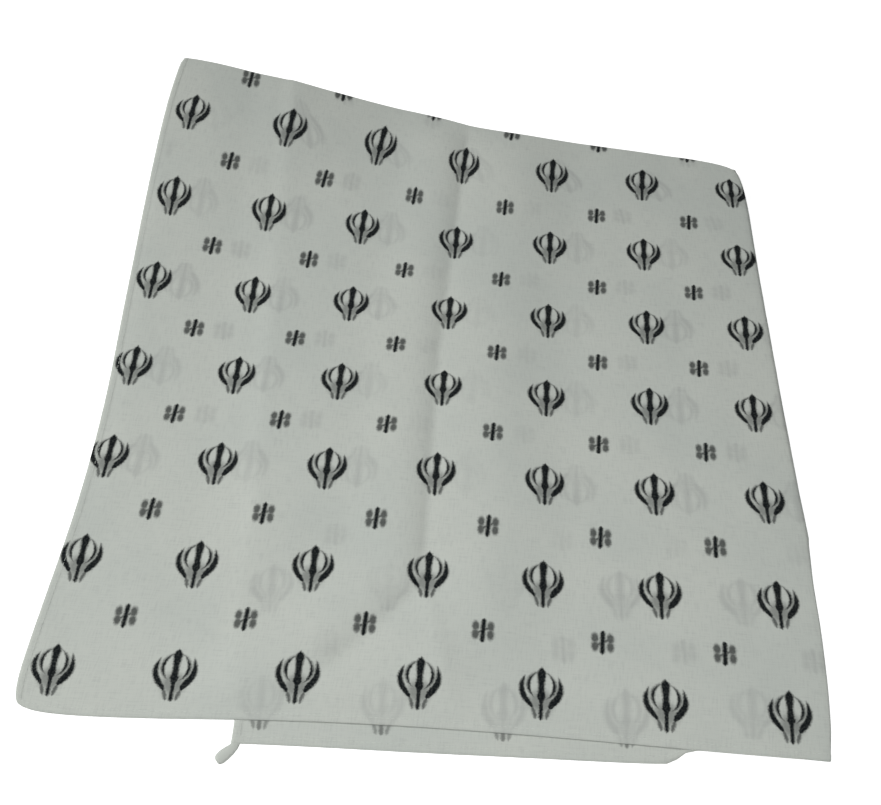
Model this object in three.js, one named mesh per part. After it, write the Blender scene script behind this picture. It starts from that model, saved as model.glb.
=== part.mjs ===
// A rumal: one square of thin printed cotton with a narrow hem, folded twice into a flat packet.
// The far part is turned under along a fold at the far edge. The right part of that is then turned
// under along a fold at the right edge. From the top, the layers are the near left quarter, the far
// left, the far right and the near right one, which lies on the surface below.
// X runs to the right, Y to the far edge, Z up. Lengths are in millimetres.
import * as THREE from 'three';

const side = 686;              // the flat square, hem to hem
const wall = 1.0;              // cloth
const hemWall = 1.3;           // cloth where the hem is turned
const hemWidth = 4.5;
const hemStep = 1.5;           // over which the thickness of the hem runs out
const layerGap = 0.35;         // air above a hem
const stayUp = 5;              // a layer stays up this far past a hem below it
const comeDown = 18;           // and then comes down over this length
const tailLength = 10;         // loose end of the hem at the lowest layer's corner
const liftHeight = 10;         // the far left corner stands off the surface
const coarseStep = 28;         // facets on the plain stretches
const fineStep = 5;            // facets where a layer comes down or is creased
const foldFacets = 6;          // facets round each fold

// Places are counted in repeats of the print: x in columns from the left one, y in rows from the
// far one, negative towards the near edge. The cloth holds this many repeats.
const repeatsAcross = 11.36;
const repeatsAlong = 11.67;
const middle = { x: 3.03, y: -2.9 };
const repeatX = side / repeatsAcross;
const repeatY = side / repeatsAlong;
const layerPitch = hemWall + layerGap;
const curveOf = (rows) => new THREE.SplineCurve(rows.map((row) => new THREE.Vector2(row.x, row.y)));

// The packet's outline, near to far or left to right, in repeats
const nearLeftCorner = { x: -0.31, y: -6.37 };
const farLeftCorner = { x: -0.33, y: 0.98 };
const nearRightCorner = { x: 6.30, y: -6.34 };
const farRightCorner = { x: 6.12, y: 0.43 };
const leftHem = curveOf([
  nearLeftCorner, { x: -0.25, y: -5.4 }, { x: -0.20, y: -4.4 }, { x: -0.21, y: -3.4 },
  { x: -0.28, y: -2.2 }, { x: -0.34, y: -1.0 }, { x: -0.36, y: 0.1 }, farLeftCorner,
]);
const nearHem = curveOf([nearLeftCorner, { x: 0.8, y: -6.375 }, { x: 3.5, y: -6.36 }, nearRightCorner]);
const farFold = curveOf([
  farLeftCorner, { x: 0.6, y: 0.87 }, { x: 1.6, y: 0.80 }, { x: 2.55, y: 0.72 }, { x: 3.3, y: 0.60 },
  { x: 4.3, y: 0.53 }, farRightCorner,
]);
const rightFold = curveOf([
  nearRightCorner, { x: 6.345, y: -5.6 }, { x: 6.35, y: -4.7 }, { x: 6.31, y: -3.8 },
  { x: 6.24, y: -2.6 }, { x: 6.16, y: -1.1 }, farRightCorner,
]);

// Free edges of the layers below, from their fold to their free corner
const underShare = 0.79;       // share of the far fold that the right layers reach back along
const farShare = 0.695;        // share of the right fold that the far layers reach down along
const underStart = farFold.getPointAt(1 - underShare);
const hemStart = rightFold.getPointAt(1 - farShare);
const farLeftFree = { x: 0.05, y: -4.28 };
const farRightFree = { x: 1.44, y: -4.5 };
const nearRightFree = { x: 1.44, y: -6.57 };
const farLeftSide = curveOf([farLeftCorner, { x: -0.2, y: -1.0 }, { x: -0.03, y: -2.8 }, farLeftFree]);
const farLeftHem = curveOf([farLeftFree, { x: 3.2, y: -4.29 }, hemStart]);
const farRightSide = curveOf([underStart, { x: 1.17, y: -1.0 }, farRightFree]);
const farRightHem = curveOf([hemStart, { x: 4.0, y: -4.38 }, farRightFree]);
const nearRightSide = curveOf([
  nearRightFree, { x: 1.49, y: -6.44 }, { x: 1.50, y: -6.2 }, { x: 1.45, y: -5.2 }, { x: 1.13, y: -1.5 },
  underStart,
]);
const nearRightHem = curveOf([
  nearRightCorner, { x: 5.5, y: -6.33 }, { x: 5.19, y: -6.36 }, { x: 5.06, y: -6.45 }, { x: 4.92, y: -6.49 },
  { x: 4.1, y: -6.535 }, { x: 2.9, y: -6.575 }, nearRightFree,
]);

// Where the cloth is drawn out of square. Reach is in repeats, moveX and moveY are shares of the side.
const draws = [
  { x: -0.25, y: 0.7, reach: 2, moveX: 0.003, moveY: 0.023 },
  { x: 6.3, y: -6.35, reach: 2, moveX: 0.010, moveY: -0.004 },
  { x: 6.1, y: 0.4, reach: 2, moveX: -0.003, moveY: -0.009 },
  { x: -0.25, y: -6.35, reach: 2, moveX: -0.005, moveY: -0.012 },
  { x: 3.5, y: -1.2, reach: 2, moveX: 0, moveY: -0.009 },
];

// Rounded corners: round is a share of the side, soft is 0.5 for a full curve and less for a blunt one
const cornerRounds = [
  { ...nearLeftCorner, inX: 1, inY: 1, round: 0.0145, soft: 0.45 },
  { ...farRightCorner, inX: -1, inY: -1, round: 0.020, soft: 0.3 },
];

// Pressed creases and soft wrinkles of the top layer: ends in repeats, width and height as shares of the side
const creases = [
  { x: 3.06, y: 0.52, toX: 2.93, toY: -2.5, width: 0.010, height: 0.0030 },
  { x: 2.93, y: -2.5, toX: 2.99, toY: -5.1, width: 0.010, height: 0.0030 },
  { x: 2.99, y: -5.1, toX: 2.3, toY: -5.85, width: 0.020, height: 0.0032 },
  { x: 2.3, y: -5.85, toX: 1.1, toY: -6.25, width: 0.018, height: 0.0024 },
  { x: 2.99, y: -5.1, toX: 3.33, toY: -6.3, width: 0.014, height: 0.0022 },
];
const liftCorner = { x: -0.25, y: 0.7, reach: 2.6 };

// Stretches with fine facets, as shares of the top layer from its left and near hems
const fineColumns = [{ from: 0.145, to: 0.285 }, { from: 0.48, to: 0.53 }];
const fineRows = [{ from: 0.215, to: 0.31 }];

// Tail of the hem: place along it as a share of its length, drift and width as shares of the hem's width
const tailSections = [
  { along: 0.1, drift: 0.1, width: 1.95 }, { along: 0.35, drift: -0.35, width: 1.85 },
  { along: 0.7, drift: -0.65, width: 1.45 }, { along: 0.9, drift: -0.75, width: 0.9 },
  { along: 1.0, drift: -0.8, width: 0.35 },
];

const topLayerWidth = (nearRightCorner.x - nearLeftCorner.x) * repeatX;
const topLayerDepth = (farLeftCorner.y - nearLeftCorner.y) * repeatY;

// The two folds as the layers below them meet them
const farFoldBack = (share) => farFold.getPointAt(1 - share * underShare);
const rightFoldDown = (share) => rightFold.getPointAt(1 - share * farShare);
const along = (curve) => (share) => curve.getPointAt(share);

// A patch of cloth between four edges: first and last run along t, start and end run along s
function patch(first, last, start, end, s, t) {
  const across = first(t).multiplyScalar(1 - s).add(last(t).multiplyScalar(s));
  const lengthways = start(s).multiplyScalar(1 - t).add(end(s).multiplyScalar(t));
  const nearCorners = start(0).multiplyScalar(1 - s).add(start(1).multiplyScalar(s));
  const farCorners = end(0).multiplyScalar(1 - s).add(end(1).multiplyScalar(s));
  const corners = nearCorners.multiplyScalar(1 - t).add(farCorners.multiplyScalar(t));
  return across.add(lengthways).sub(corners);
}

const plans = {
  nearLeft: (s, t) => patch(along(leftHem), along(rightFold), along(nearHem), along(farFold), s, t),
  farLeft: (s, t) => patch(along(farLeftSide), rightFoldDown, along(farFold), along(farLeftHem), s, t),
  nearRight: (s, t) => patch(along(rightFold), along(nearRightSide), along(nearRightHem), farFoldBack, s, t),
  farRight: (s, t) => patch(rightFoldDown, along(farRightSide), farFoldBack, along(farRightHem), s, t),
};

// Straight-line reading of an edge: the value of one axis where the other has a given value
function read(edge, byColumn, at, column) {
  const sorted = [...edge.points].sort((a, b) => a[byColumn] - b[byColumn]);
  const next = sorted.findIndex((row) => row[byColumn] >= at);
  if (next === 0) return sorted[0][column];
  if (next < 0) return sorted.at(-1)[column];
  const low = sorted[next - 1];
  const high = sorted[next];
  const share = (at - low[byColumn]) / (high[byColumn] - low[byColumn]);
  return THREE.MathUtils.lerp(low[column], high[column], share);
}

// How much a layer below holds up a point: 1 over it and just past its hem, 0 where the surface is reached
const heldUp = (inside) => THREE.MathUtils.smoothstep(inside, -stayUp - comeDown, -stayUp);
const pastSide = (rows, p) => heldUp((p.x - read(rows, 'y', p.y, 'x')) * repeatX);
const pastHem = (rows, p) => heldUp((p.y - read(rows, 'x', p.x, 'y')) * repeatY);
const overNearRight = (p) => pastSide(nearRightSide, p);
const overFarRight = (p) => pastSide(farRightSide, p) * pastHem(farRightHem, p);
const overFarLeft = (p) => pastSide(farLeftSide, p) * pastHem(farLeftHem, p);
const layersBelow = {
  nearRight: () => 0,
  farRight: (p) => overNearRight(p),
  farLeft: (p) => overNearRight(p) + overFarRight(p),
  nearLeft: (p) => overNearRight(p) + overFarRight(p) + overFarLeft(p),
};

function cornerLift(p) {
  const near = Math.hypot(p.x - liftCorner.x, p.y - liftCorner.y) / liftCorner.reach;
  return near < 1 ? liftHeight * (1 - near * near) ** 2 : 0;
}

function creaseHeight(p) {
  let height = 0;
  for (const crease of creases) {
    const run = new THREE.Vector2((crease.toX - crease.x) * repeatX, (crease.toY - crease.y) * repeatY);
    const from = new THREE.Vector2((p.x - crease.x) * repeatX, (p.y - crease.y) * repeatY);
    const share = THREE.MathUtils.clamp(from.dot(run) / run.lengthSq(), 0, 1);
    const off = from.sub(run.multiplyScalar(share)).length() / (crease.width * side);
    height = Math.max(height, off < 1 ? crease.height * side * (1 - off) ** 2 : 0);
  }
  return height;
}

// From repeats of the print to millimetres, with the drawn places and the rounded corners
function placeOf(p) {
  const place = new THREE.Vector2((p.x - middle.x) * repeatX, (p.y - middle.y) * repeatY);
  for (const draw of draws) {
    const near = Math.hypot(p.x - draw.x, p.y - draw.y) / draw.reach;
    const pull = side * Math.exp(-near * near);
    place.x += pull * draw.moveX;
    place.y += pull * draw.moveY;
  }
  for (const corner of cornerRounds) {
    const round = corner.round * side;
    const away = Math.abs(p.x - corner.x) * repeatX + Math.abs(p.y - corner.y) * repeatY;
    const pull = round * corner.soft * Math.exp(-away / round);
    place.x += corner.inX * pull;
    place.y += corner.inY * pull;
  }
  return place;
}

// The middle of the cloth's thickness at a place of one layer
function layerPoint(layer, s, t, thickness) {
  const p = plans[layer](s, t);
  const place = placeOf(p);
  const below = layersBelow[layer](p);
  const lift = layer.endsWith('Left') ? cornerLift(p) : 0;
  const crease = layer === 'nearLeft' ? creaseHeight(p) : 0;
  const underside = below * layerPitch + lift + crease;
  const point = new THREE.Vector3(place.x, place.y, underside + thickness / 2);
  point.lies = underside === 0;
  return point;
}

// Half a turn from one point to another that it is folded to, bulging outwards
function turn(upper, lower, outwards, share) {
  const centre = upper.clone().add(lower).multiplyScalar(0.5);
  const arm = upper.clone().sub(lower).multiplyScalar(0.5);
  const bulge = outwards.clone().multiplyScalar(arm.length() * Math.sin(Math.PI * share));
  const point = centre.addScaledVector(arm, Math.cos(Math.PI * share)).add(bulge);
  point.lies = false;
  return point;
}

// Outward direction of a fold, square to the line between its ends
function outwardOf(fold, turned) {
  const start = placeOf(fold.points[0]);
  const end = placeOf(fold.points.at(-1));
  const run = end.sub(start).normalize();
  return new THREE.Vector3(-run.y * turned, run.x * turned, 0);
}
const outOfFarFold = outwardOf(farFold, 1);
const outOfRightFold = outwardOf(rightFold, -1);

// Shares at which facets end, from a hem to a fold
function facetEnds(length, bands) {
  const ends = [0, hemWidth / length, (hemWidth + hemStep) / length];
  for (;;) {
    const at = ends.at(-1);
    const inBand = bands.some((band) => at >= band.from && at < band.to);
    const step = (inBand ? fineStep : coarseStep) / length;
    const ahead = bands.find((band) => band.from > at);
    const next = ahead ? Math.min(at + step, ahead.from) : at + step;
    if (next > 1 - step / 2) break;
    ends.push(next);
  }
  return [...ends, 1];
}

// Lines of the grid across the cloth: the top quarter, round the fold, and the quarter turned under
function gridLines(length, bands, underLength) {
  const upper = facetEnds(length, bands).map((share, i) => ({ part: 'upper', share, hem: i < 2 }));
  const fold = [];
  for (let i = 1; i < foldFacets; i += 1) fold.push({ part: 'fold', share: i / foldFacets, hem: false });
  const under = facetEnds(underLength, []).map((share, i) => ({ part: 'under', share: 1 - share, hem: i < 2 }));
  return [...upper, ...fold, ...under.reverse()];
}

function clothPoint(column, row) {
  const thickness = column.hem || row.hem ? hemWall : wall;
  const inColumn = (rowPart, t) => {
    const names = rowPart === 'upper' ? ['nearLeft', 'nearRight'] : ['farLeft', 'farRight'];
    if (column.part === 'upper') return layerPoint(names[0], column.share, t, thickness);
    if (column.part === 'under') return layerPoint(names[1], column.share, t, thickness);
    const upper = layerPoint(names[0], 1, t, thickness);
    const lower = layerPoint(names[1], 0, t, thickness);
    return turn(upper, lower, outOfRightFold, column.share);
  };
  const point = row.part === 'fold'
    ? turn(inColumn('upper', 1), inColumn('under', 0), outOfFarFold, row.share)
    : inColumn(row.part, row.share);
  point.thickness = thickness;
  return point;
}

// The whole cloth as a grid of points at the middle of its thickness, with the cells between them
function clothGrid() {
  const columns = gridLines(topLayerWidth, fineColumns, side - topLayerWidth);
  const rows = gridLines(topLayerDepth, fineRows, side - topLayerDepth);
  const points = [];
  const cells = [];
  for (const row of rows) for (const column of columns) points.push(clothPoint(column, row));
  const index = (i, j) => j * columns.length + i;
  for (let j = 0; j < rows.length - 1; j += 1) {
    for (let i = 0; i < columns.length - 1; i += 1) {
      cells.push([index(i, j), index(i + 1, j), index(i + 1, j + 1), index(i, j + 1)]);
    }
  }
  addTail(points, cells, index(columns.length - 2, 0), index(columns.length - 1, 0));
  return { points, cells };
}

// The hem's tail runs on from the hem of the lowest layer at its free corner
function addTail(points, cells, rightIndex, leftIndex) {
  const right = points[rightIndex].clone();
  const left = points[leftIndex].clone();
  const centre = right.clone().add(left).multiplyScalar(0.5);
  let last = [rightIndex, leftIndex];
  for (const section of tailSections) {
    const y = centre.y - section.along * tailLength;
    const x = centre.x + section.drift * hemWidth;
    const half = section.width * hemWidth / 2;
    for (const step of [half, -half]) {
      const point = new THREE.Vector3(x + step, y, centre.z);
      point.lies = true;
      point.thickness = hemWall;
      points.push(point);
    }
    const next = [points.length - 2, points.length - 1];
    cells.push([next[0], next[1], last[1], last[0]]);
    last = next;
  }
}

// Normals at the points, from the cells that meet there
function pointNormals(points, cells) {
  const normals = points.map(() => new THREE.Vector3());
  for (const cell of cells) {
    const [a, b, c, d] = cell.map((i) => points[i]);
    const normal = c.clone().sub(a).cross(d.clone().sub(b)).normalize();
    for (const i of cell) normals[i].add(normal);
  }
  points.forEach((point, i) => {
    if (point.lies) normals[i].set(0, 0, Math.sign(normals[i].z));
    normals[i].normalize();
  });
  return normals;
}

// A closed wall of cloth: both faces of every cell, and a rim along the edges that only one cell has
function clothWall({ points, cells }) {
  const normals = pointNormals(points, cells);
  const vertices = [];
  for (const way of [0.5, -0.5]) {
    points.forEach((point, i) => {
      const vertex = point.clone().addScaledVector(normals[i], way * point.thickness);
      vertices.push(vertex.x, vertex.y, vertex.z);
    });
  }
  const inner = points.length;
  const triangles = [];
  const rim = new Map();
  for (const [a, b, c, d] of cells) {
    triangles.push(a, b, c, a, c, d);
    triangles.push(inner + c, inner + b, inner + a, inner + d, inner + c, inner + a);
    for (const [from, to] of [[a, b], [b, c], [c, d], [d, a]]) {
      if (!rim.delete(`${to},${from}`)) rim.set(`${from},${to}`, [from, to]);
    }
  }
  for (const [from, to] of rim.values()) {
    triangles.push(from, inner + from, inner + to, from, inner + to, to);
  }
  const geometry = new THREE.BufferGeometry();
  geometry.setAttribute('position', new THREE.Float32BufferAttribute(vertices, 3));
  geometry.setIndex(triangles);
  return geometry;
}

// The origin is under the middle of the packet
function centred(geometry) {
  geometry.computeBoundingBox();
  const centre = geometry.boundingBox.getCenter(new THREE.Vector3());
  geometry.translate(-centre.x, -centre.y, -geometry.boundingBox.min.z);
  geometry.computeVertexNormals();
  return geometry;
}

const cotton = new THREE.MeshStandardMaterial({ color: 0xc3cac0, roughness: 0.92, metalness: 0 });
const cloth = new THREE.Mesh(centred(clothWall(clothGrid())), cotton);
cloth.name = 'rumal_cloth';

const rumal = new THREE.Group();
rumal.add(cloth);
export default rumal;
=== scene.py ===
# A rumal: a square of thin printed cotton with a narrow hem, folded twice into a flat packet.
# Metres, +Z up, +Y towards the far fold. The layers from the top are the near left quarter,
# the far left, the far right and the near right one.
from bisect import bisect_left
from math import cos, exp, hypot, pi, radians, sin

import bmesh
import bpy
from mathutils import Matrix, Vector, noise
from mathutils.bvhtree import BVHTree
from mathutils.interpolate import poly_3d_calc


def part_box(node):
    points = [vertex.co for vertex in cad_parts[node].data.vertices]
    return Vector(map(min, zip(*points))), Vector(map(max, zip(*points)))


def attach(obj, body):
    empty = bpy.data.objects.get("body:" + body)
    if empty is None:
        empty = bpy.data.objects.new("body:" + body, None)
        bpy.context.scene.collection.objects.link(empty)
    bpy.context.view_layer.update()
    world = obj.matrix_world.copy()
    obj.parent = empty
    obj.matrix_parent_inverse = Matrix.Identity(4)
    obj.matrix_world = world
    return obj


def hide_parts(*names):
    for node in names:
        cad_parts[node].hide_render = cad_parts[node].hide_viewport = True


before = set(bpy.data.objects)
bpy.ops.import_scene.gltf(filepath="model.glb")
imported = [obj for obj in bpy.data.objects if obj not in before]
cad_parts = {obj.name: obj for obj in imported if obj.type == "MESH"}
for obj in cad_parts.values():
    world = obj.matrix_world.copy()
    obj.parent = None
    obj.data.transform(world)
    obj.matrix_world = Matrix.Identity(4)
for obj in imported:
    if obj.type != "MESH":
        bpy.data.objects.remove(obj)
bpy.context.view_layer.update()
scene = bpy.context.scene

# The square and how it lies. Plan places are counted in repeats of the print, x in columns from
# the left one and y in rows from the far one, negative towards the near edge.
cloth = {
    "side": 0.686,
    "columns": 11.36,
    "rows": 11.67,
    "middle": (3.03, -2.9),
    "underHem": 0.0003,
    "thickness": 0.00035,
    "hemThickness": 0.00052,
    "rimThickness": 0.0001,
    "hemWidth": 0.0040,
    "hemLines": (0, 0.0006, 0.0018, 0.0036, 0.0044, 0.0052),
    "seamLine": 3,
    "layerPitch": 0.00135,
    "stayUp": 0.002,
    "edgeDrop": 0.35,
    "edgeDown": 0.006,
    "comeDown": 0.030,
    "farReach": 0.79,
    "rightReach": 0.695,
    "foldFacets": 9,
    "foldBulge": 1.25,
    "step": 0.0042,
    "fineStep": 0.0021,
    "underStep": 0.0056,
    "fineColumns": (0.42, 0.56),
    "fineRows": (0.0, 0.12),
    "nearPress": (0.31, 0.02),
    "hemOverHem": (4.6, 0.6, 0.2),
}
repeatX = cloth["side"] / cloth["columns"]
repeatY = cloth["side"] / cloth["rows"]

corners = {
    "nearLeft": (-0.31, -6.37),
    "farLeft": (-0.33, 0.98),
    "nearRight": (6.30, -6.34),
    "farRight": (6.12, 0.43),
    "farLeftFree": (0.05, -4.28),
    "farRightFree": (1.44, -4.5),
    "nearRightFree": (1.535, -6.57),
}

# Rows between the corners of each edge
edgeRows = {
    "leftHem": [(-0.25, -5.4), (-0.20, -4.4), (-0.21, -3.4), (-0.28, -2.2), (-0.34, -1.0), (-0.36, 0.1)],
    "nearHem": [(0.8, -6.375), (3.5, -6.36)],
    "farFold": [(0.6, 0.87), (1.6, 0.80), (2.55, 0.72), (3.3, 0.60), (4.3, 0.53)],
    "rightFold": [(6.345, -5.6), (6.35, -4.7), (6.31, -3.8), (6.24, -2.6), (6.16, -1.1)],
    "farLeftSide": [(-0.2, -1.0), (-0.03, -2.8)],
    "farLeftHem": [(3.2, -4.29)],
    "farRightSide": [(1.17, -1.0)],
    "farRightHem": [(4.0, -4.38)],
    "nearRightSide": [(1.535, -6.44), (1.525, -6.2), (1.45, -5.2), (1.13, -1.5)],
    "nearRightHem": [
        (5.5, -6.33), (5.19, -6.36), (5.06, -6.45), (4.92, -6.49), (4.1, -6.535), (2.9, -6.575),
    ],
}

# How the print of the quarters below lies: mirrored about each fold, running on round it, and in
# step with the top one's from a reach on. Sums and shifts are in repeats.
belowPrint = {
    "roundRightFold": 0.10,
    "roundFarFold": 0.04,
    "sumAcross": 12.66,
    "sumDown": 1.02,
    "farShift": -0.29,
    "swing": 0.009,
    "skew": -0.0125,
    "nearHem": -6.35,
    "nearReach": (-5.0, 1.4),
    "reach": 1.1,
}

# Where the print is out of step with its lattice: place, reach and shift, all in repeats
printShifts = [
    ((-0.3, -0.1), 1.0, (0.07, -0.12)),
    ((1.9, 0.4), 0.9, (-0.07, -0.13)),
    ((0.9, 0.3), 0.6, (-0.04, -0.05)),
    ((0.0, -1.9), 0.9, (0.04, -0.05)),
    ((1.2, -2.1), 0.8, (-0.01, 0.05)),
    ((-0.2, -4.6), 1.7, (0.035, -0.01)),
    ((6.2, -4.8), 1.2, (-0.035, -0.02)),
    ((3.0, -3.4), 0.9, (0.0, -0.05)),
    ((3.0, -0.9), 0.7, (-0.01, 0.06)),
    ((3.5, -5.0), 1.8, (0.0, -0.02)),
    ((0.2, 1.3), 0.75, (0.0, -0.36)),
    ((1.5, 1.3), 0.75, (-0.02, -0.30)),
    ((2.6, 1.2), 0.75, (-0.17, -0.30)),
    ((4.0, 1.2), 0.8, (-0.06, -0.13)),
    ((5.5, 1.1), 0.8, (-0.08, -0.03)),
]

# Where the cloth is drawn out of square: place, reach in repeats, move as shares of the side
draws = [
    ((-0.25, 0.7), 2, (0.003, 0.023)),
    ((6.3, -6.35), 2, (0.010, -0.004)),
    ((6.1, 0.4), 2, (-0.003, -0.009)),
    ((-0.25, -6.35), 2, (-0.005, -0.012)),
    ((3.5, -1.2), 2, (0, -0.009)),
]

# Rounded corners: corner, the way in, size as a share of the side, softness
cornerRounds = [
    ("nearLeft", (1, 1), 0.0145, 0.45),
    ("farRight", (-1, -1), 0.026, 0.32),
    ("farLeft", (1, -1), 0.0050, 0.4),
]

# Creases of the top layer, along plan places. A fold that was pressed before is a groove, whose sides
# have their rise, their width and how far out they fade. A slight wrinkle is a ridge, with rise and width.
creases = [
    {
        "kind": "groove",
        "along": [(3.06, 0.9), (2.93, -2.5), (2.96, -5.08), (2.68, -5.4), (2.27, -5.86), (1.85, -6.2)],
        "leftSide": (0.0019, 0.0150, 0.050),
        "rightSide": (0.0022, 0.034, 0.080),
    },
    {
        "kind": "ridge",
        "along": [(2.99, -5.1), (3.33, -6.3)],
        "leftSide": (0.0004, 0.030),
        "rightSide": (0.0004, 0.009),
    },
]
creaseFade = {"far": (0.75, 0.5), "near": (-6.4, 0.7)}

# The loose end of the hem: how far each section lies from the corner, its width and its lean
tail = {
    "sections": [
        ((-0.0009, -0.0018), 0.0049, 15),
        ((-0.0025, -0.0037), 0.0055, 33),
        ((-0.0045, -0.0058), 0.0060, 43),
        ((-0.0061, -0.0075), 0.0059, 46),
        ((-0.0072, -0.0086), 0.0047, 48),
        ((-0.0077, -0.0092), 0.0022, 48),
    ],
    "plump": 0.0007,
}


def ease(value):
    value = min(max(value, 0), 1)
    return value * value * (3 - 2 * value)


# A smooth line through rows of points, read by the share of its length
def smoothEdge(rows, stepsPerRow=40):
    last = len(rows) - 1
    points, lengths = [], [0]
    for k in range(last * stepsPerRow + 1):
        start = min(k // stepsPerRow, last - 1)
        w = k / stepsPerRow - start
        a, b, c, d = (Vector(rows[min(max(start + shift, 0), last)]) for shift in (-1, 0, 1, 2))
        leave, arrive = (c - a) / 2, (d - b) / 2
        bend = (3 * (c - b) - 2 * leave - arrive) * w**2 + (2 * (b - c) + leave + arrive) * w**3
        points.append(b + leave * w + bend)
        if k:
            lengths.append(lengths[-1] + (points[-1] - points[-2]).length)

    def at(share):
        length = min(max(share, 0), 1) * lengths[-1]
        k = min(max(bisect_left(lengths, length), 1), len(lengths) - 1)
        return points[k - 1].lerp(points[k], (length - lengths[k - 1]) / (lengths[k] - lengths[k - 1]))

    return at


def rowsOf(name, start, end):
    return [start, *edgeRows[name], end]


edges = {
    "leftHem": smoothEdge(rowsOf("leftHem", corners["nearLeft"], corners["farLeft"])),
    "nearHem": smoothEdge(rowsOf("nearHem", corners["nearLeft"], corners["nearRight"])),
    "farFold": smoothEdge(rowsOf("farFold", corners["farLeft"], corners["farRight"])),
    "rightFold": smoothEdge(rowsOf("rightFold", corners["nearRight"], corners["farRight"])),
}
underStart = tuple(edges["farFold"](1 - cloth["farReach"]))
hemStart = tuple(edges["rightFold"](1 - cloth["rightReach"]))
belowRows = {
    "farLeftSide": rowsOf("farLeftSide", corners["farLeft"], corners["farLeftFree"]),
    "farLeftHem": rowsOf("farLeftHem", corners["farLeftFree"], hemStart),
    "farRightSide": rowsOf("farRightSide", underStart, corners["farRightFree"]),
    "farRightHem": rowsOf("farRightHem", hemStart, corners["farRightFree"]),
    "nearRightSide": rowsOf("nearRightSide", corners["nearRightFree"], underStart),
    "nearRightHem": rowsOf("nearRightHem", corners["nearRight"], corners["nearRightFree"]),
}
edges.update({name: smoothEdge(rows) for name, rows in belowRows.items()})


# The folds as the quarters below them meet them
def farFoldBack(share):
    return edges["farFold"](1 - share * cloth["farReach"])


def rightFoldDown(share):
    return edges["rightFold"](1 - share * cloth["rightReach"])


# Four edges of each quarter: first and last run along t, start and end run along s
planEdges = {
    "nearLeft": (edges["leftHem"], edges["rightFold"], edges["nearHem"], edges["farFold"]),
    "farLeft": (edges["farLeftSide"], rightFoldDown, edges["farFold"], edges["farLeftHem"]),
    "nearRight": (edges["rightFold"], edges["nearRightSide"], edges["nearRightHem"], farFoldBack),
    "farRight": (rightFoldDown, edges["farRightSide"], farFoldBack, edges["farRightHem"]),
}


def patch(fourEdges, s, t):
    first, last, start, end = fourEdges
    across = first(t).lerp(last(t), s)
    lengthways = start(s).lerp(end(s), t)
    return across + lengthways - start(0).lerp(start(1), s).lerp(end(0).lerp(end(1), s), t)


# From plan places to metres, before the packet is centred
def placeOf(p):
    x, y = ((p.x - cloth["middle"][0]) * repeatX, (p.y - cloth["middle"][1]) * repeatY)
    for at, reach, move in draws:
        pull = cloth["side"] * exp(-((hypot(p.x - at[0], p.y - at[1]) / reach) ** 2))
        x += pull * move[0]
        y += pull * move[1]
    for name, inwards, size, softness in cornerRounds:
        radius = size * cloth["side"]
        away = abs(p.x - corners[name][0]) * repeatX + abs(p.y - corners[name][1]) * repeatY
        pull = radius * softness * exp(-away / radius)
        x += inwards[0] * pull
        y += inwards[1] * pull
    return Vector((x, y, 0))


# Straight-line reading of an edge: one axis where the other has a given value
def read(rows, known, value, wanted):
    ordered = sorted(rows, key=lambda row: row[known])
    if value <= ordered[0][known]:
        return ordered[0][wanted]
    for low, high in zip(ordered, ordered[1:]):
        if value <= high[known]:
            share = (value - low[known]) / (high[known] - low[known])
            return low[wanted] + share * (high[wanted] - low[wanted])
    return ordered[-1][wanted]


# How much a layer below holds up a place: 1 over it, 0 where the cloth has come down beside it
def heldUp(inside):
    past = inside + cloth["stayUp"]
    edge = ease(past / cloth["edgeDown"] + 1)
    return cloth["edgeDrop"] * edge + (1 - cloth["edgeDrop"]) * ease(past / cloth["comeDown"] + 1)


def overSide(name, p):
    return heldUp((p.x - read(belowRows[name], 1, p.y, 0)) * repeatX)


def overHem(name, p):
    return heldUp((p.y - read(belowRows[name], 0, p.x, 1)) * repeatY)


def layersBelow(layer, p):
    below = 0
    if layer != "nearRight":
        below += overSide("nearRightSide", p)
    if layer in ("farLeft", "nearLeft"):
        below += overSide("farRightSide", p) * overHem("farRightHem", p)
    if layer == "nearLeft":
        below += overSide("farLeftSide", p) * overHem("farLeftHem", p)
    return below


# The far left corner doesn't lie flat
lift = {"at": (-0.25, 0.7), "reach": 2.6, "height": 0.010}


def cornerLift(p):
    near = hypot(p.x - lift["at"][0], p.y - lift["at"][1]) / lift["reach"]
    return lift["height"] * (1 - near * near) ** 2 if near < 1 else 0


# How far a place is from a line of plan places, and whether it is on the line's left or right
def distanceTo(p, line):
    nearest = (1, False)
    for start, end in zip(line, line[1:]):
        run = Vector(((end[0] - start[0]) * repeatX, (end[1] - start[1]) * repeatY))
        away = Vector(((p.x - start[0]) * repeatX, (p.y - start[1]) * repeatY))
        share = min(max(away.dot(run) / run.length_squared, 0), 1)
        nearest = min(nearest, ((away - run * share).length, run.cross(away) < 0))
    return nearest


def creaseHeight(p):
    height = 0
    for crease in creases:
        off, onLeft = distanceTo(p, crease["along"])
        side = crease["leftSide" if onLeft else "rightSide"]
        if crease["kind"] == "ridge":
            height += side[0] * (1 - min(off / side[1], 1)) ** 2
        else:
            rise, inner, outer = side
            slope = 1 - (1 - min(off / inner, 1)) ** 2
            height += rise * slope * (1 - ease((off - inner) / (outer - inner)))
    far, near = creaseFade["far"], creaseFade["near"]
    return height * ease((far[0] - p.y) / far[1]) * ease((p.y - near[0]) / near[1])


# Soft ripples, which the lower layers have less of
ripples = {"height": 0.0004, "length": 0.045, "fineLength": 0.018, "fineShare": 0.4, "fineFrom": (7, 3, 1)}
rippleShare = {"nearLeft": 1, "farLeft": 0.66, "farRight": 0.33, "nearRight": 0}


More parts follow.
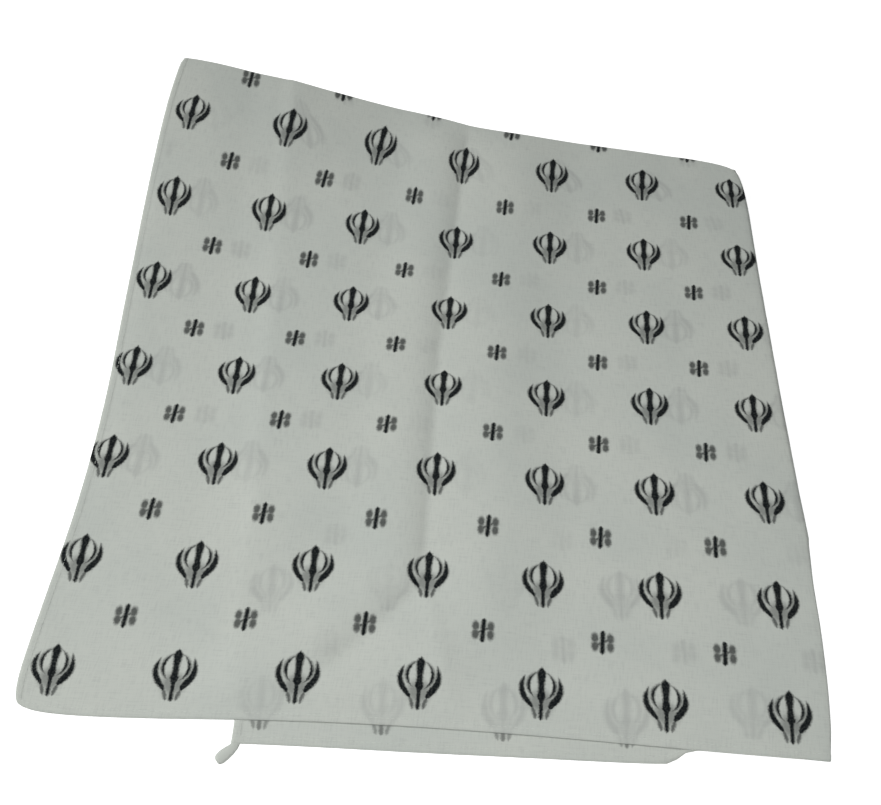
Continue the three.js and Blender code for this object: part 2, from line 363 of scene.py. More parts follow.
def ripple(place, layer):
    broad = noise.noise(place / ripples["length"])
    fine = noise.noise(place / ripples["fineLength"] + Vector(ripples["fineFrom"]))
    return rippleShare[layer] * ripples["height"] * (1 + broad + ripples["fineShare"] * fine)


# Small puckers along a sewn hem, at uneven distances
puckers = {
    "height": 0.00016,
    "length": 0.0072,
    "fades": 0.011,
    "reach": 0.033,
    "uneven": 2.2,
    "unevenOver": 0.02,
}


def pucker(fromEdge, alongEdge):
    if fromEdge > puckers["reach"]:
        return 0
    wander = puckers["uneven"] * noise.noise(Vector((alongEdge / puckers["unevenOver"], 0.5, 9)))
    wave = 0.5 + 0.5 * sin(2 * pi * alongEdge / puckers["length"] + wander)
    return puckers["height"] * wave * exp(-fromEdge / puckers["fades"])


def topPrint(p):
    place = p.copy()
    for at, reach, move in printShifts:
        place += Vector(move) * exp(-((p - Vector(at)).length_squared / reach**2))
    return place


def printPlace(layer, s, t, p):
    place = topPrint(p)
    first, _, start, _ = planEdges[layer]
    if layer.endswith("Right"):
        fold = first(t)
        away = fold.x - p.x
        atFold = 2 * topPrint(fold).x + belowPrint["roundRightFold"]
        settled = ease(away / belowPrint["reach"])
        pastMiddle = belowPrint["nearReach"][0] - p.y
        wanted = belowPrint["sumAcross"] - belowPrint["skew"] * max(pastMiddle, 0) * away
        place.x = atFold + (wanted - atFold) * settled - place.x
        swing = belowPrint["swing"] * away**2
        if layer == "nearRight":
            toHem = belowPrint["nearHem"] - start(s).y
            swing += (toHem - swing) * ease(pastMiddle / belowPrint["nearReach"][1])
        place.y += swing
    if layer.startswith("far"):
        fold = start(s)
        atFold = 2 * topPrint(fold).y + belowPrint["roundFarFold"]
        settled = ease((fold.y - p.y) / belowPrint["reach"])
        place.y = atFold + (belowPrint["sumDown"] - atFold) * settled - place.y
        place.x += belowPrint["farShift"] * settled
    return place


# The hem is a turned edge, so its rim is round
def wallThickness(column, row):
    if not column["fromEdge"] or not row["fromEdge"]:
        return cloth["rimThickness"]
    return cloth["hemThickness"] if column["hem"] or row["hem"] else cloth["thickness"]


def layerPoint(layer, column, row):
    s, t = column["share"], row["share"]
    p = patch(planEdges[layer], s, t)
    place = placeOf(p)
    height = layersBelow(layer, p) * cloth["layerPitch"] + ripple(place, layer)
    height += pucker(column["fromEdge"], row["flat"]) + pucker(row["fromEdge"], column["flat"])
    if layer in ("nearLeft", "farLeft"):
        height += cornerLift(p)
    if layer == "nearLeft":
        pressed, reach = cloth["nearPress"]
        start, run, more = cloth["hemOverHem"]
        pressed += more * ease((p.x - start) / run)
        height *= pressed + (1 - pressed) * ease(row["flat"] / reach)
        height += creaseHeight(p)
    thickness = wallThickness(column, row)
    return place + Vector((0, 0, height + thickness / 2 + cloth["underHem"])), printPlace(layer, s, t, p)


# Half a turn from a point to the one that it is folded to, bulging outwards
def turn(upper, lower, outwards, share):
    arm = (upper[0] - lower[0]) / 2
    centre = (upper[0] + lower[0]) / 2
    bulge = outwards * arm.length * cloth["foldBulge"] * sin(pi * share)
    return centre + arm * cos(pi * share) + bulge, upper[1].lerp(lower[1], share)


def outwardOf(start, end, side):
    run = (placeOf(Vector(corners[end])) - placeOf(Vector(corners[start]))).normalized()
    return Vector((-run.y, run.x, 0)) * side


outOfFarFold = outwardOf("farLeft", "farRight", 1)
outOfRightFold = outwardOf("nearRight", "farRight", -1)


# Stations from a hem to a fold, as lengths on the flat cloth
def hemToFold(length, step, fine=(0, 0)):
    at = list(cloth["hemLines"])
    while at[-1] < length:
        inFine = fine[0] <= at[-1] / length < fine[1]
        at.append(at[-1] + (cloth["fineStep"] if inFine else step))
    if length - at[-2] < step / 2:
        at.pop()
    at[-1] = length
    return at


# The lines of the grid: the top quarter, round the fold, and the quarter turned under
def gridLines(topLength, fine):
    side = cloth["side"]
    lines = []
    for at in hemToFold(topLength, cloth["step"], fine):
        lines.append({"part": "upper", "share": at / topLength, "flat": at, "fromEdge": at})
    for i in range(1, cloth["foldFacets"]):
        lines.append({"part": "fold", "share": i / cloth["foldFacets"], "flat": topLength, "fromEdge": 1})
    underLength = side - topLength
    for at in reversed(hemToFold(underLength, cloth["underStep"])):
        lines.append({"part": "under", "share": 1 - at / underLength, "flat": side - at, "fromEdge": at})
    for line in lines:
        line["hem"] = line["fromEdge"] < cloth["hemWidth"]
    return lines


topWidth = (corners["nearRight"][0] - corners["nearLeft"][0]) * repeatX
topDepth = (corners["farLeft"][1] - corners["nearLeft"][1]) * repeatY
columns = gridLines(topWidth, cloth["fineColumns"])
rows = gridLines(topDepth, cloth["fineRows"])


def clothPoint(column, row):
    def inColumn(rowPart, row):
        names = ("nearLeft", "nearRight") if rowPart == "upper" else ("farLeft", "farRight")
        if column["part"] == "upper":
            return layerPoint(names[0], column, row)
        if column["part"] == "under":
            return layerPoint(names[1], column, row)
        upper = layerPoint(names[0], {**column, "share": 1}, row)
        lower = layerPoint(names[1], {**column, "share": 0}, row)
        return turn(upper, lower, outOfRightFold, column["share"])

    if row["part"] == "fold":
        upper = inColumn("upper", {**row, "share": 1})
        lower = inColumn("under", {**row, "share": 0})
        return turn(upper, lower, outOfFarFold, row["share"])
    return inColumn(row["part"], row)


# How strongly the print below shows: in soft patches, less over a gap and not at the lifted corner
showThrough = {
    "start": 0.0003,
    "deepest": 0.0054,
    "patch": 0.06,
    "middle": 0.75,
    "contrast": 1.6,
    "even": 0.6,
    "fades": 0.0035,
    "lowest": 1.15,
    "corner": (0.6, 1.2),
}


# What lies behind each point as seen through the printed side: the print of the next layer
def lookBehind(bm, printAt):
    bm.normal_update()
    tree = BVHTree.FromBMesh(bm)
    seen, strength = {}, {}
    for vert in bm.verts:
        away = -vert.normal
        hit, _, index, _ = tree.ray_cast(vert.co + away * showThrough["start"], away, showThrough["deepest"])
        strength[vert.index] = 0
        if hit:
            around = bm.faces[index].verts
            weights = poly_3d_calc([v.co for v in around], hit)
            seen[vert.index] = sum((printAt[v.index] * w for v, w in zip(around, weights)), Vector((0, 0)))
            gap = (hit - vert.co).length - cloth["layerPitch"]
            patches = noise.noise(vert.co / showThrough["patch"])
            patchy = ease(showThrough["middle"] + showThrough["contrast"] * patches)
            share = showThrough["even"] + (1 - showThrough["even"]) * patchy
            if hit.z < cloth["layerPitch"]:
                share *= showThrough["lowest"]
            fromCorner = (printAt[vert.index] - Vector(corners["farLeft"])).length
            nearest, reach = showThrough["corner"]
            share *= ease((fromCorner - nearest) / reach)
            strength[vert.index] = share * (1 - ease(gap / showThrough["fades"]))
    for vert in bm.verts:
        if vert.index not in seen:
            near = [e.other_vert(vert).index for e in vert.link_edges]
            near = [seen[i] for i in near if strength.get(i)]
            seen[vert.index] = sum(near, Vector((0, 0))) / len(near) if near else printAt[vert.index]
    return seen, strength


# The hem's tail runs on from the free corner of the lowest layer, as wide as the hem
def addTail(bm, printAt):
    last = len(columns) - 1
    base = [bm.verts[last - k] for k in range(cloth["seamLine"] + 2)]
    corner, plainPlace = base[0].co.copy(), printAt[base[0].index]
    width = (base[-1].co - corner).length
    shares = [(vert.co - corner).length / width for vert in base]
    line = [bm.edges.get(pair) for pair in zip(base, base[1:])]
    for at, wide, lean in tail["sections"]:
        made = bmesh.ops.extrude_edge_only(bm, edges=line)["geom"]
        line = [item for item in made if isinstance(item, bmesh.types.BMEdge)]
        fresh = sorted({vert for edge in line for vert in edge.verts}, key=lambda vert: vert.co.x)
        bm.verts.index_update()
        for vert, share in zip(fresh, shares):
            off = Vector((cos(radians(lean)), -sin(radians(lean)), 0)) * (share - 0.5) * wide
            plump = tail["plump"] * (1 - (2 * share - 1) ** 2)
            vert.co = corner + Vector((at[0] + width / 2, at[1], plump)) + off
            printAt[vert.index] = plainPlace


packetShift = Vector((0, 0, 0))


# Moves the packet over its place in the frame
def centre(bm, node):
    low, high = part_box(node)
    for axis in (0, 1):
        values = [vert.co[axis] for vert in bm.verts]
        shift = (low[axis] + high[axis]) / 2 - (min(values) + max(values)) / 2
        for vert in bm.verts:
            vert.co[axis] += shift
        packetShift[axis] = shift


def wallShare(thickness):
    return (thickness - cloth["rimThickness"]) / (cloth["hemThickness"] - cloth["rimThickness"])


def foldCloth(name):
    size = (len(columns), len(rows))
    bm = bmesh.new()
    bmesh.ops.create_grid(bm, x_segments=size[0] - 1, y_segments=size[1] - 1, size=1)
    bm.verts.sort(key=lambda vert: round((vert.co.y + 1) / 2 * (size[1] - 1)) * size[0] + vert.co.x)
    bm.verts.ensure_lookup_table()
    printAt, flatAt, thicknessAt = {}, {}, {}
    for j, row in enumerate(rows):
        for i, column in enumerate(columns):
            vert = bm.verts[j * size[0] + i]
            vert.co, printAt[vert.index] = clothPoint(column, row)
            flatAt[vert.index] = Vector((column["flat"], row["flat"]))
            thicknessAt[vert.index] = wallThickness(column, row)
    addTail(bm, printAt)
    centre(bm, name)
    bm.verts.ensure_lookup_table()
    bm.faces.ensure_lookup_table()
    seen, strength = lookBehind(bm, printAt)
    behindStrength = bm.verts.layers.float.new("behindStrength")
    maps = {key: bm.loops.layers.uv.new(key) for key in ("print", "behind", "flat")}
    weights = bm.verts.layers.deform.verify()
    plainPlace = flatAt[size[0] - 1]
    for vert in bm.verts:
        vert[behindStrength] = strength[vert.index]
        vert[weights][0] = wallShare(thicknessAt.get(vert.index, cloth["hemThickness"]))
    for face in bm.faces:
        face.smooth = True
        for loop in face.loops:
            index = loop.vert.index
            loop[maps["print"]].uv = printAt[index]
            loop[maps["behind"]].uv = seen[index]
            loop[maps["flat"]].uv = flatAt.get(index, plainPlace)
    mesh = bpy.data.meshes.new(name)
    bm.to_mesh(mesh)
    seams = seamLines([(vert.co.copy(), vert.normal.copy()) for vert in bm.verts])
    bm.free()
    return mesh, seams


# The four lines of points that the hem is sewn along
def seamLines(points):
    seam = cloth["seamLine"]
    wide, tall = len(columns), len(rows)
    alongRow = [range(j * wide + seam, (j + 1) * wide - seam) for j in (seam, tall - 1 - seam)]
    alongColumn = [range(seam * wide + i, (tall - seam) * wide + i, wide) for i in (seam, wide - 1 - seam)]
    return [[points[index] for index in line] for line in alongRow + alongColumn]


# A stitch that would stand on edge, round a fold, is left out
stitching = {
    "length": 0.0022,
    "pitch": 0.0028,
    "thread": 0.00012,
    "rise": 0.00002,
    "flatEnough": 0.9,
}


# One slim bead of thread, which the stitches repeat
def makeBead():
    bm = bmesh.new()
    bmesh.ops.create_uvsphere(bm, u_segments=6, v_segments=4, radius=1)
    size = (stitching["thread"], stitching["thread"], stitching["length"] / 2)
    bmesh.ops.scale(bm, vec=size, verts=bm.verts)
    for face in bm.faces:
        face.smooth = True
    bead = bpy.data.meshes.new("bead")
    bm.to_mesh(bead)
    bm.free()
    return bead


# Stitches along the seams, on both faces of the hem
def sewHem(name, seams):
    bead = makeBead()
    bm = bmesh.new()
    rise = cloth["hemThickness"] / 2 + stitching["rise"]
    for seam in seams:
        walked, wanted = 0, stitching["pitch"] / 2
        for (here, normal), (ahead, nextNormal) in zip(seam, seam[1:]):
            step = (ahead - here).length
            while wanted < walked + step:
                share = (wanted - walked) / step
                up = normal.lerp(nextNormal, share).normalized()
                wanted += stitching["pitch"]
                if abs(up.z) < stitching["flatEnough"]:
                    continue
                run = (ahead - here).normalized()
                turned = Matrix((up.cross(run), up, run)).transposed().to_4x4()
                for face in (rise, -rise):
                    place = Matrix.Translation(here.lerp(ahead, share) + up * face) @ turned
                    bead.transform(place)
                    bm.from_mesh(bead)
                    bead.transform(place.inverted())
            walked += step
    mesh = bpy.data.meshes.new(name)
    bm.to_mesh(mesh)
    bm.free()
    bpy.data.meshes.remove(bead)
    return mesh


def addPiece(name, mesh, materials):
    piece = bpy.data.objects.new(name, mesh)
    scene.collection.objects.link(piece)
    for material in materials:
        mesh.materials.append(material)
    return piece


# Helpers for shader nodes
def feed(tree, value, socket):
    if isinstance(value, bpy.types.NodeSocket):
        tree.links.new(value, socket)
    else:
        socket.default_value = value


def calc(tree, operation, *values):
    node = tree.nodes.new("ShaderNodeMath")
    node.operation = operation
    for value, socket in zip(values, node.inputs):
        feed(tree, value, socket)
    return node.outputs[0]


def calcVector(tree, operation, *values):
    node = tree.nodes.new("ShaderNodeVectorMath")
    node.operation = operation
    for value, socket in zip(values, node.inputs):
        feed(tree, value, socket)
    return node.outputs["Value" if operation in ("DOT_PRODUCT", "LENGTH") else "Vector"]


def spread(tree, value, fromLow, fromHigh, toLow=0.0, toHigh=1.0, kind="SMOOTHSTEP"):
    node = tree.nodes.new("ShaderNodeMapRange")
    node.interpolation_type = kind
    for given, socket in zip((value, fromLow, fromHigh, toLow, toHigh), node.inputs):
        feed(tree, given, socket)
    return node.outputs["Result"]


def grainNoise(tree, place, scale, detail, output="Fac"):
    node = tree.nodes.new("ShaderNodeTexNoise")
    feed(tree, place, node.inputs["Vector"])
    node.inputs["Scale"].default_value = scale
    node.inputs["Detail"].default_value = detail
    return node.outputs[output]


def splitAxes(tree, place):
    node = tree.nodes.new("ShaderNodeSeparateXYZ")
    feed(tree, place, node.inputs[0])
    return node.outputs["X"], node.outputs["Y"]


def blendColour(tree, factor, first, second):
    node = tree.nodes.new("ShaderNodeMix")
    node.data_type = "RGBA"
    for value, index in ((factor, 0), (first, 6), (second, 7)):
        feed(tree, value, node.inputs[index])
    return node.outputs[2]


def newGroup(name, inputs, outputs):
    tree = bpy.data.node_groups.new(name, "ShaderNodeTree")
    for label, kind in inputs:
        tree.interface.new_socket(label, in_out="INPUT", socket_type=kind)
    for label, kind in outputs:
        tree.interface.new_socket(label, in_out="OUTPUT", socket_type=kind)
    return tree, tree.nodes.new("NodeGroupInput").outputs, tree.nodes.new("NodeGroupOutput").inputs


def placeGroup(tree, group, **values):
    node = tree.nodes.new("ShaderNodeGroup")
    node.node_tree = group
    for label, value in values.items():
        feed(tree, value, node.inputs[label])
    return node.outputs


# The printed motifs, in millimetres from their middle. A chart gives a half width, or the place of a
# middle line, for places along y. A negative half width is no ink. A tone is how dark the ink is there.
motif = {
    "swordWidth": [
        (-16, -4), (-14.2, -0.6), (-13.2, 0.7), (-12, 1.2), (-10, 1.2), (-6, 1.3), (-4.4, 1.35),
        (-3.2, 1.9), (-1.8, 2.4), (0, 2.0), (2, 1.7), (4, 1.65), (6, 1.85), (8.2, 2.1), (10, 2.35),
        (11.4, 1.7), (12.8, 0.4), (13.8, -0.6), (16, -4),
    ],
    "leftMiddle": [
        (-16, -2), (-8, -4.4), (-7, -4.9), (-5, -6.4), (-3, -7.9), (-1, -9.0), (1, -9.6), (3, -9.75),
        (6, -9.1), (8, -8.4), (16, -5),
    ],
    "leftWidth": [
        (-16, -4), (-9.2, -0.8), (-8.2, 0.2), (-7, 1.2), (-5.5, 1.7), (-3.5, 1.8), (-1, 1.6), (2, 1.4),
        (4.5, 1.2), (6.5, 0.75), (8, 0.2), (9.2, -0.5), (16, -4),
    ],
    "rightMiddle": [
        (-16, 2), (-8, 4.2), (-7, 4.6), (-5, 5.9), (-3, 7.2), (-1, 8.5), (1, 9.2), (3, 9.4), (6, 9.05),
        (8, 8.6), (16, 6),
    ],
    "rightWidth": [
        (-16, -4), (-9.2, -0.8), (-8.2, 0.3), (-7, 1.5), (-5.5, 2.1), (-4, 2.35), (-2, 2.1), (0, 1.8),
        (2, 1.5), (4, 1.2), (6, 0.8), (8, 0.2), (9.2, -0.5), (16, -4),
    ],
    "ring": {
        "centre": (0.05, 3.6),
        "size": (6.2, 7.2, 1),
        "middle": 6.7,
        "thin": 0,
        "thick": 0.98,
        "lean": -0.25,
    },
    "gripMiddle": [(-16, 2.2), (-13.4, 2.6), (-11, 3.0), (-8, 3.9), (-4, 5.0), (16, 6)],
    "gripWidth": [
        (-16, -4), (-13.8, -0.6), (-12.8, 0.5), (-11.4, 1.0), (-10, 1.1), (-8, 0.8), (-6.4, -0.6), (-4, -4),
        (16, -4),
    ],
    "gripTone": 0.78,
    "wash": {"centre": (0, -4.6), "size": (7.4, 6.8, 1), "edge": (0.2, -0.6), "tone": 0.52},
    "starBar": [(0, 1.35), (3.5, 1.3), (4.8, 1.3), (5.8, 0.9), (6.6, -0.1), (8, -4)],
    "starLean": -0.045,
    "petal": {"centre": (3.85, 2.2), "size": (1.85, 2.75, 1), "tone": 0.82},
    "starLink": {"slope": 0.55, "reach": 3.3, "width": 0.85, "tone": 0.84},
    "bleed": 1.2,
    "bleedScale": 60,
}
chartRange = (-12.0, 12.0)


def chart(tree, value, points):
    node = tree.nodes.new("ShaderNodeFloatCurve")
    low, high = points[0][0], points[-1][0]
    lowest, highest = chartRange
    places = [((at - low) / (high - low), (size - lowest) / (highest - lowest)) for at, size in points]
    curve = node.mapping.curves[0]
    for place in places[1:-1]:
        curve.points.new(*place)
    curve.points[0].location = places[0]
    curve.points[-1].location = places[-1]
    for point in curve.points:
        point.handle_type = "AUTO_CLAMPED"
    node.mapping.update()
    feed(tree, spread(tree, value, low, high, kind="LINEAR"), node.inputs["Value"])
    return spread(tree, node.outputs[0], 0.0, 1.0, *chartRange, kind="LINEAR")


# Ink of the repeat print at a place counted in repeats: emblems at whole numbers, stars between
def makePrintedRepeat():
    sockets = [("Place", "NodeSocketVector"), ("Softness", "NodeSocketFloat")]
    tree, given, result = newGroup("printedRepeat", sockets, [("Ink", "NodeSocketFloat")])
    size = (repeatX * 1000, repeatY * 1000, 1)
    uneven = grainNoise(tree, given["Place"], motif["bleedScale"], 1.0, "Color")
    uneven = calcVector(tree, "SUBTRACT", uneven, (0.5, 0.5, 0.5))
    shift = calcVector(tree, "MULTIPLY", uneven, (motif["bleed"],) * 3)

    def inMillimetres(place):
        middle = calcVector(tree, "SUBTRACT", calcVector(tree, "FRACTION", place), (0.5, 0.5, 0))
        flat = calcVector(tree, "MULTIPLY", middle, size)
        return calcVector(tree, "ADD", flat, shift)

    def mask(distance):
        edge = calc(tree, "MULTIPLY", given["Softness"], -1)
        return spread(tree, distance, given["Softness"], edge)

    def fromLine(across, middle, halfWidth):
        off = calc(tree, "ABSOLUTE", calc(tree, "SUBTRACT", across, middle))
        return calc(tree, "SUBTRACT", off, halfWidth)

    def fromOval(place, oval):
        moved = calcVector(tree, "SUBTRACT", place, (*oval["centre"], 0))
        scaled = calcVector(tree, "DIVIDE", moved, oval["size"])
        flat = calcVector(tree, "MULTIPLY", scaled, (1, 1, 0))
        return flat, calc(tree, "SUBTRACT", calcVector(tree, "LENGTH", flat), 1)

    emblem = inMillimetres(calcVector(tree, "ADD", given["Place"], (0.5, 0.5, 0)))
    x, y = splitAxes(tree, emblem)
    sword = fromLine(x, 0.0, chart(tree, y, motif["swordWidth"]))
    leftBlade = fromLine(x, chart(tree, y, motif["leftMiddle"]), chart(tree, y, motif["leftWidth"]))
    rightBlade = fromLine(x, chart(tree, y, motif["rightMiddle"]), chart(tree, y, motif["rightWidth"]))
    ringPlace, ringOff = fromOval(emblem, motif["ring"])
    ringX, ringY = splitAxes(tree, ringPlace)
    lean = calc(tree, "MULTIPLY", ringX, ringY)
    beside = calc(tree, "MULTIPLY", ringX, ringX)
    ringWidth = calc(tree, "MULTIPLY_ADD", beside, motif["ring"]["thick"], motif["ring"]["thin"])
    ringWidth = calc(tree, "MULTIPLY_ADD", lean, motif["ring"]["lean"], ringWidth)
    ringOff = calc(tree, "MULTIPLY", calc(tree, "ABSOLUTE", ringOff), motif["ring"]["middle"])
    ring = calc(tree, "SUBTRACT", ringOff, ringWidth)
    blades = calc(tree, "MINIMUM", leftBlade, rightBlade)
    ink = mask(calc(tree, "MINIMUM", calc(tree, "MINIMUM", sword, ring), blades))
    gripMiddle, gripWidth = chart(tree, y, motif["gripMiddle"]), chart(tree, y, motif["gripWidth"])
    grips = fromLine(calc(tree, "ABSOLUTE", x), gripMiddle, gripWidth)
    ink = calc(tree, "MAXIMUM", ink, calc(tree, "MULTIPLY", mask(grips), motif["gripTone"]))
    _, off = fromOval(emblem, motif["wash"])
    wash = spread(tree, off, *motif["wash"]["edge"], 0.0, motif["wash"]["tone"])
    ink = calc(tree, "MAXIMUM", ink, wash)

    star = inMillimetres(given["Place"])
    x, y = splitAxes(tree, star)
    bar = chart(tree, calc(tree, "ABSOLUTE", y), motif["starBar"])
    bar = mask(fromLine(calc(tree, "MULTIPLY_ADD", y, motif["starLean"], x), 0.0, bar))
    petal, link = motif["petal"], motif["starLink"]
    _, off = fromOval(calcVector(tree, "ABSOLUTE", star), petal)
    petals = mask(calc(tree, "MULTIPLY", off, petal["size"][0]))
    petals = calc(tree, "MULTIPLY", petals, petal["tone"])
    arm = fromLine(y, calc(tree, "MULTIPLY", x, link["slope"]), link["width"])
    pastArm = calc(tree, "SUBTRACT", calc(tree, "ABSOLUTE", x), link["reach"])
    arm = calc(tree, "MULTIPLY", mask(calc(tree, "MAXIMUM", arm, pastArm)), link["tone"])
    star = calc(tree, "MAXIMUM", bar, calc(tree, "MAXIMUM", petals, arm))
    feed(tree, calc(tree, "MAXIMUM", ink, star), result["Ink"])
    return tree


# Plain weave: threads over and under, and thicker and thinner ones that show as streaks
weaving = {"change": 0.3, "warpStreaks": (1300, 130, 0), "weftStreaks": (110, 1500, 0)}


def makePlainWeave():
    tree, given, result = newGroup(
        "plainWeave",
        [("Flat", "NodeSocketVector"), ("Thread", "NodeSocketFloat")],
        [("Height", "NodeSocketFloat"), ("Streaks", "NodeSocketFloat")],
    )
    waves = []
    for along in splitAxes(tree, given["Flat"]):
        turns = calc(tree, "DIVIDE", along, given["Thread"])
        waves.append(calc(tree, "SINE", calc(tree, "MULTIPLY", turns, pi)))
    warpOver = spread(tree, calc(tree, "MULTIPLY", *waves), -weaving["change"], weaving["change"])
    warp, weft = (calc(tree, "ABSOLUTE", wave) for wave in waves)
    feed(tree, spread(tree, warpOver, 0.0, 1.0, weft, warp, kind="LINEAR"), result["Height"])
    warpPlace = calcVector(tree, "MULTIPLY", given["Flat"], weaving["warpStreaks"])
    weftPlace = calcVector(tree, "MULTIPLY", given["Flat"], weaving["weftStreaks"])
    alongWarp = grainNoise(tree, warpPlace, 1.0, 2.0)
    alongWeft = grainNoise(tree, weftPlace, 1.0, 2.0)
    feed(tree, calc(tree, "MULTIPLY", calc(tree, "ADD", alongWarp, alongWeft), 0.5), result["Streaks"])
    return tree


cotton = {
    "colour": (0.485, 0.510, 0.470, 1),
    "shadeColour": (0.455, 0.485, 0.450, 1),
    "shades": (0.35, 0.7),
    "shadeScale": 14.0,
    "streakColour": (0.38, 0.40, 0.38, 1),
    "streakEdges": (0.44, 0.72),
    "streaks": 0.6,
    "ink": (0.005, 0.007, 0.008, 1),
    "inkShare": 1.0,
    "thinInk": 0.94,
    "thinEdges": (0.25, 0.6),
    "thinScale": 900.0,
    "ghostColour": (0.23, 0.235, 0.235, 1),
    "ghostShare": 0.30,
    "ghostSoftness": 1.9,
    "printSoftness": 0.85,
    "wrongSideInk": 0.62,
    "thread": 0.00044,
    "weaveHeight": 0.00005,
    "weaveBump": 0.5,
    "roughness": 0.9,
    "sheen": 0.015,
    "specular": 0.05,
}


def uvPlace(tree, name):
    node = tree.nodes.new("ShaderNodeUVMap")
    node.uv_map = name
    return node.outputs["UV"]


def newMaterial(name):
    material = bpy.data.materials.new(name)
    material.use_nodes = True
    tree = material.node_tree
    return material, tree, tree.nodes["Principled BSDF"]


def addBump(tree, shader, height, strength, distance):
    bump = tree.nodes.new("ShaderNodeBump")
    bump.inputs["Strength"].default_value = strength
    bump.inputs["Distance"].default_value = distance
    feed(tree, height, bump.inputs["Height"])
    feed(tree, bump.outputs["Normal"], shader.inputs["Normal"])


# The cloth's colour before the print: streaks of the weave and soft broad shades
def clothColour(tree, weave):
    broad = grainNoise(tree, uvPlace(tree, "flat"), cotton["shadeScale"], 3.0)
    base = blendColour(tree, spread(tree, broad, *cotton["shades"]), cotton["colour"], cotton["shadeColour"])
    streaks = spread(tree, weave["Streaks"], *cotton["streakEdges"], 0.0, cotton["streaks"])
    return blendColour(tree, streaks, base, cotton["streakColour"])


def finishCotton(tree, shader, weave, colour):
    feed(tree, colour, shader.inputs["Base Color"])
    shader.inputs["Roughness"].default_value = cotton["roughness"]
    shader.inputs["Sheen Weight"].default_value = cotton["sheen"]
    shader.inputs["Specular IOR Level"].default_value = cotton["specular"]
    addBump(tree, shader, weave["Height"], cotton["weaveBump"], cotton["weaveHeight"])


# The print at its own place, where the ink sinks into the threads unevenly
def printInk(tree, printedRepeat, share):
    place, softness = uvPlace(tree, "print"), cotton["printSoftness"]
    ink = placeGroup(tree, printedRepeat, Place=place, Softness=softness)["Ink"]
    patchy = grainNoise(tree, uvPlace(tree, "flat"), cotton["thinScale"], 2.0)
    density = spread(tree, patchy, *cotton["thinEdges"], cotton["thinInk"] * share, share)
    return calc(tree, "MULTIPLY", ink, density)


def makePrintedSide(printedRepeat, plainWeave):
    material, tree, shader = newMaterial("cottonPrintedSide")
    weave = placeGroup(tree, plainWeave, Flat=uvPlace(tree, "flat"), Thread=cotton["thread"])
    colour = clothColour(tree, weave)
    place, softness = uvPlace(tree, "behind"), cotton["ghostSoftness"]
    ghost = placeGroup(tree, printedRepeat, Place=place, Softness=softness)["Ink"]
    covered = tree.nodes.new("ShaderNodeAttribute")
    covered.attribute_name = "behindStrength"
    ghost = calc(tree, "MULTIPLY", ghost, covered.outputs["Fac"])
    ghost = calc(tree, "MULTIPLY", ghost, cotton["ghostShare"])
    colour = blendColour(tree, ghost, colour, cotton["ghostColour"])
    colour = blendColour(tree, printInk(tree, printedRepeat, cotton["inkShare"]), colour, cotton["ink"])
    finishCotton(tree, shader, weave, colour)
    return material


def makeWrongSide(printedRepeat, plainWeave):
    material, tree, shader = newMaterial("cottonWrongSide")
    weave = placeGroup(tree, plainWeave, Flat=uvPlace(tree, "flat"), Thread=cotton["thread"])
    through = printInk(tree, printedRepeat, cotton["wrongSideInk"])
    finishCotton(tree, shader, weave, blendColour(tree, through, clothColour(tree, weave), cotton["ink"]))
    return material


thread = {
    "pale": (0.60, 0.63, 0.58, 1),
    "dark": (0.50, 0.54, 0.50, 1),
    "unevenScale": 700.0,
    "roughness": 0.8,
    "fibreScale": 2600.0,
    "fibreBump": 0.4,
    "fibreHeight": 0.00004,
}


def makeThread():
    material, tree, shader = newMaterial("hemThread")
    place = tree.nodes.new("ShaderNodeTexCoord").outputs["Object"]
    uneven = grainNoise(tree, place, thread["unevenScale"], 2.0)
    feed(tree, blendColour(tree, uneven, thread["pale"], thread["dark"]), shader.inputs["Base Color"])
    shader.inputs["Roughness"].default_value = thread["roughness"]
    fibres = grainNoise(tree, place, thread["fibreScale"], 0.0)
    addBump(tree, shader, fibres, thread["fibreBump"], thread["fibreHeight"])
    return material


printedRepeat = makePrintedRepeat()
plainWeave = makePlainWeave()
materials = [makePrintedSide(printedRepeat, plainWeave), makeWrongSide(printedRepeat, plainWeave)]
print("materials made")

clothShape, seams = foldCloth("rumal_cloth")
foldedCloth = addPiece("foldedCloth", clothShape, materials)
foldedCloth.vertex_groups.new(name="wall")
wall = foldedCloth.modifiers.new("wall", "SOLIDIFY")
wall.thickness = cloth["hemThickness"]
wall.thickness_vertex_group = cloth["rimThickness"] / cloth["hemThickness"]
wall.vertex_group = "wall"
wall.offset = 0
wall.material_offset = 1
print("cloth folded:", len(clothShape.vertices), "points")

hemStitches = addPiece("hemStitches", sewHem("hemStitches", seams), [makeThread()])
print("hem sewn:", len(hemStitches.data.polygons), "faces")

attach(foldedCloth, "root")
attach(hemStitches, "root")
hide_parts("rumal_cloth")

# The white ground glows a little, so that no shadow shows beside the packet
floor = {"size": 40.0, "colour": (0.75, 0.75, 0.75, 1), "roughness": 0.8, "glow": 0.64}


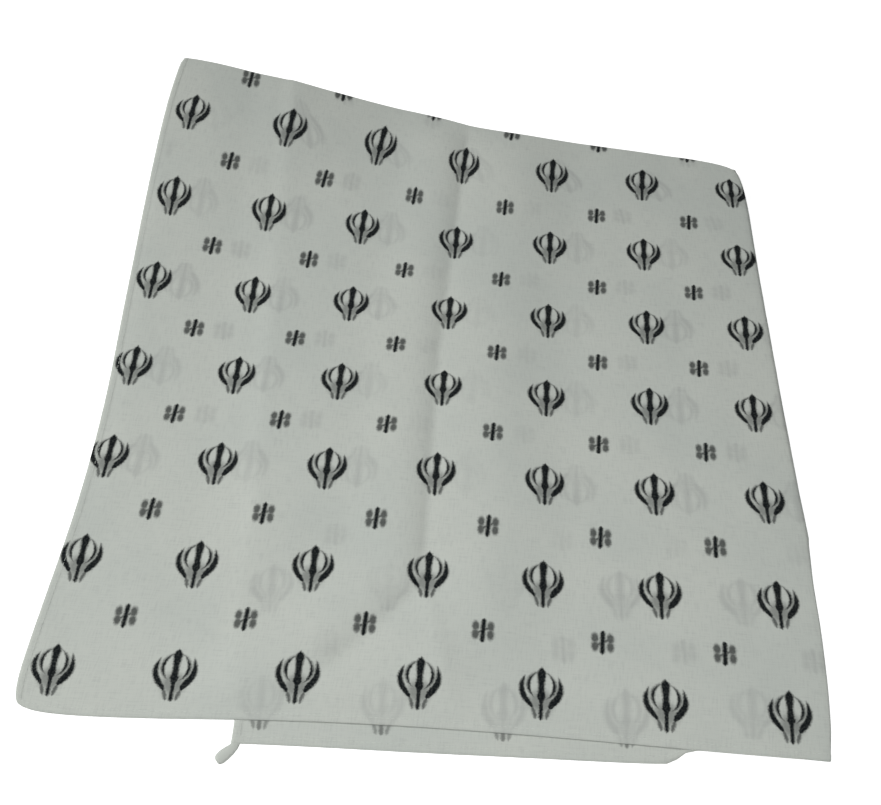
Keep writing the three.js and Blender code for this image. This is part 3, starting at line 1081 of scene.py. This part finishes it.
def addFloor():
    bm = bmesh.new()
    bmesh.ops.create_grid(bm, x_segments=1, y_segments=1, size=floor["size"] / 2)
    mesh = bpy.data.meshes.new("floor")
    bm.to_mesh(mesh)
    bm.free()
    material, _, shader = newMaterial("paleFloor")
    shader.inputs["Base Color"].default_value = floor["colour"]
    shader.inputs["Roughness"].default_value = floor["roughness"]
    shader.inputs["Emission Color"].default_value = (1, 1, 1, 1)
    shader.inputs["Emission Strength"].default_value = floor["glow"]
    addPiece("floor", mesh, [material])


# Soft lamps: place, size and power
lamps = {
    "window": ((-2.5, 0.6, 1.5), 0.8, 60),
    "above": ((-0.03, -0.38, 0.8), 0.5, 4.55),
}
skyLight = 0.12


def addLamps():
    for name, (place, size, power) in lamps.items():
        lamp = bpy.data.lights.new(name, "AREA")
        lamp.size = size
        lamp.energy = power
        lit = bpy.data.objects.new(name, lamp)
        lit.location = place
        lit.rotation_euler = (-Vector(place)).to_track_quat("-Z", "Y").to_euler()
        scene.collection.objects.link(lit)
    world = bpy.data.worlds.new("studio")
    world.use_nodes = True
    sky = world.node_tree.nodes["Background"]
    sky.inputs["Color"].default_value = (1, 1, 1, 1)
    sky.inputs["Strength"].default_value = skyLight
    scene.world = world


camera = {
    "target": (-0.00274, -0.01316, 0.0),
    "distance": 0.6809,
    "azimuth": 1.0,
    "elevation": 58.35,
    "roll": 3.57,
    "lens": 47.57,
}


# The target is a plan place, so it moves with the packet
def addCamera():
    side, height, roll = (radians(camera[key]) for key in ("azimuth", "elevation", "roll"))
    back = Vector((sin(side) * cos(height), -cos(side) * cos(height), sin(height)))
    right = Vector((cos(side), sin(side), 0))
    up = back.cross(right)
    right, up = right * cos(roll) + up * sin(roll), up * cos(roll) - right * sin(roll)
    lens = bpy.data.cameras.new("camera")
    lens.lens = camera["lens"]
    holder = bpy.data.objects.new("camera", lens)
    holder.matrix_world = Matrix((right, up, back)).transposed().to_4x4()
    holder.location = Vector(camera["target"]) + packetShift + back * camera["distance"]
    scene.collection.objects.link(holder)
    scene.camera = holder


addFloor()
addLamps()
addCamera()
scene.view_settings.view_transform = "Standard"
print("stage set")
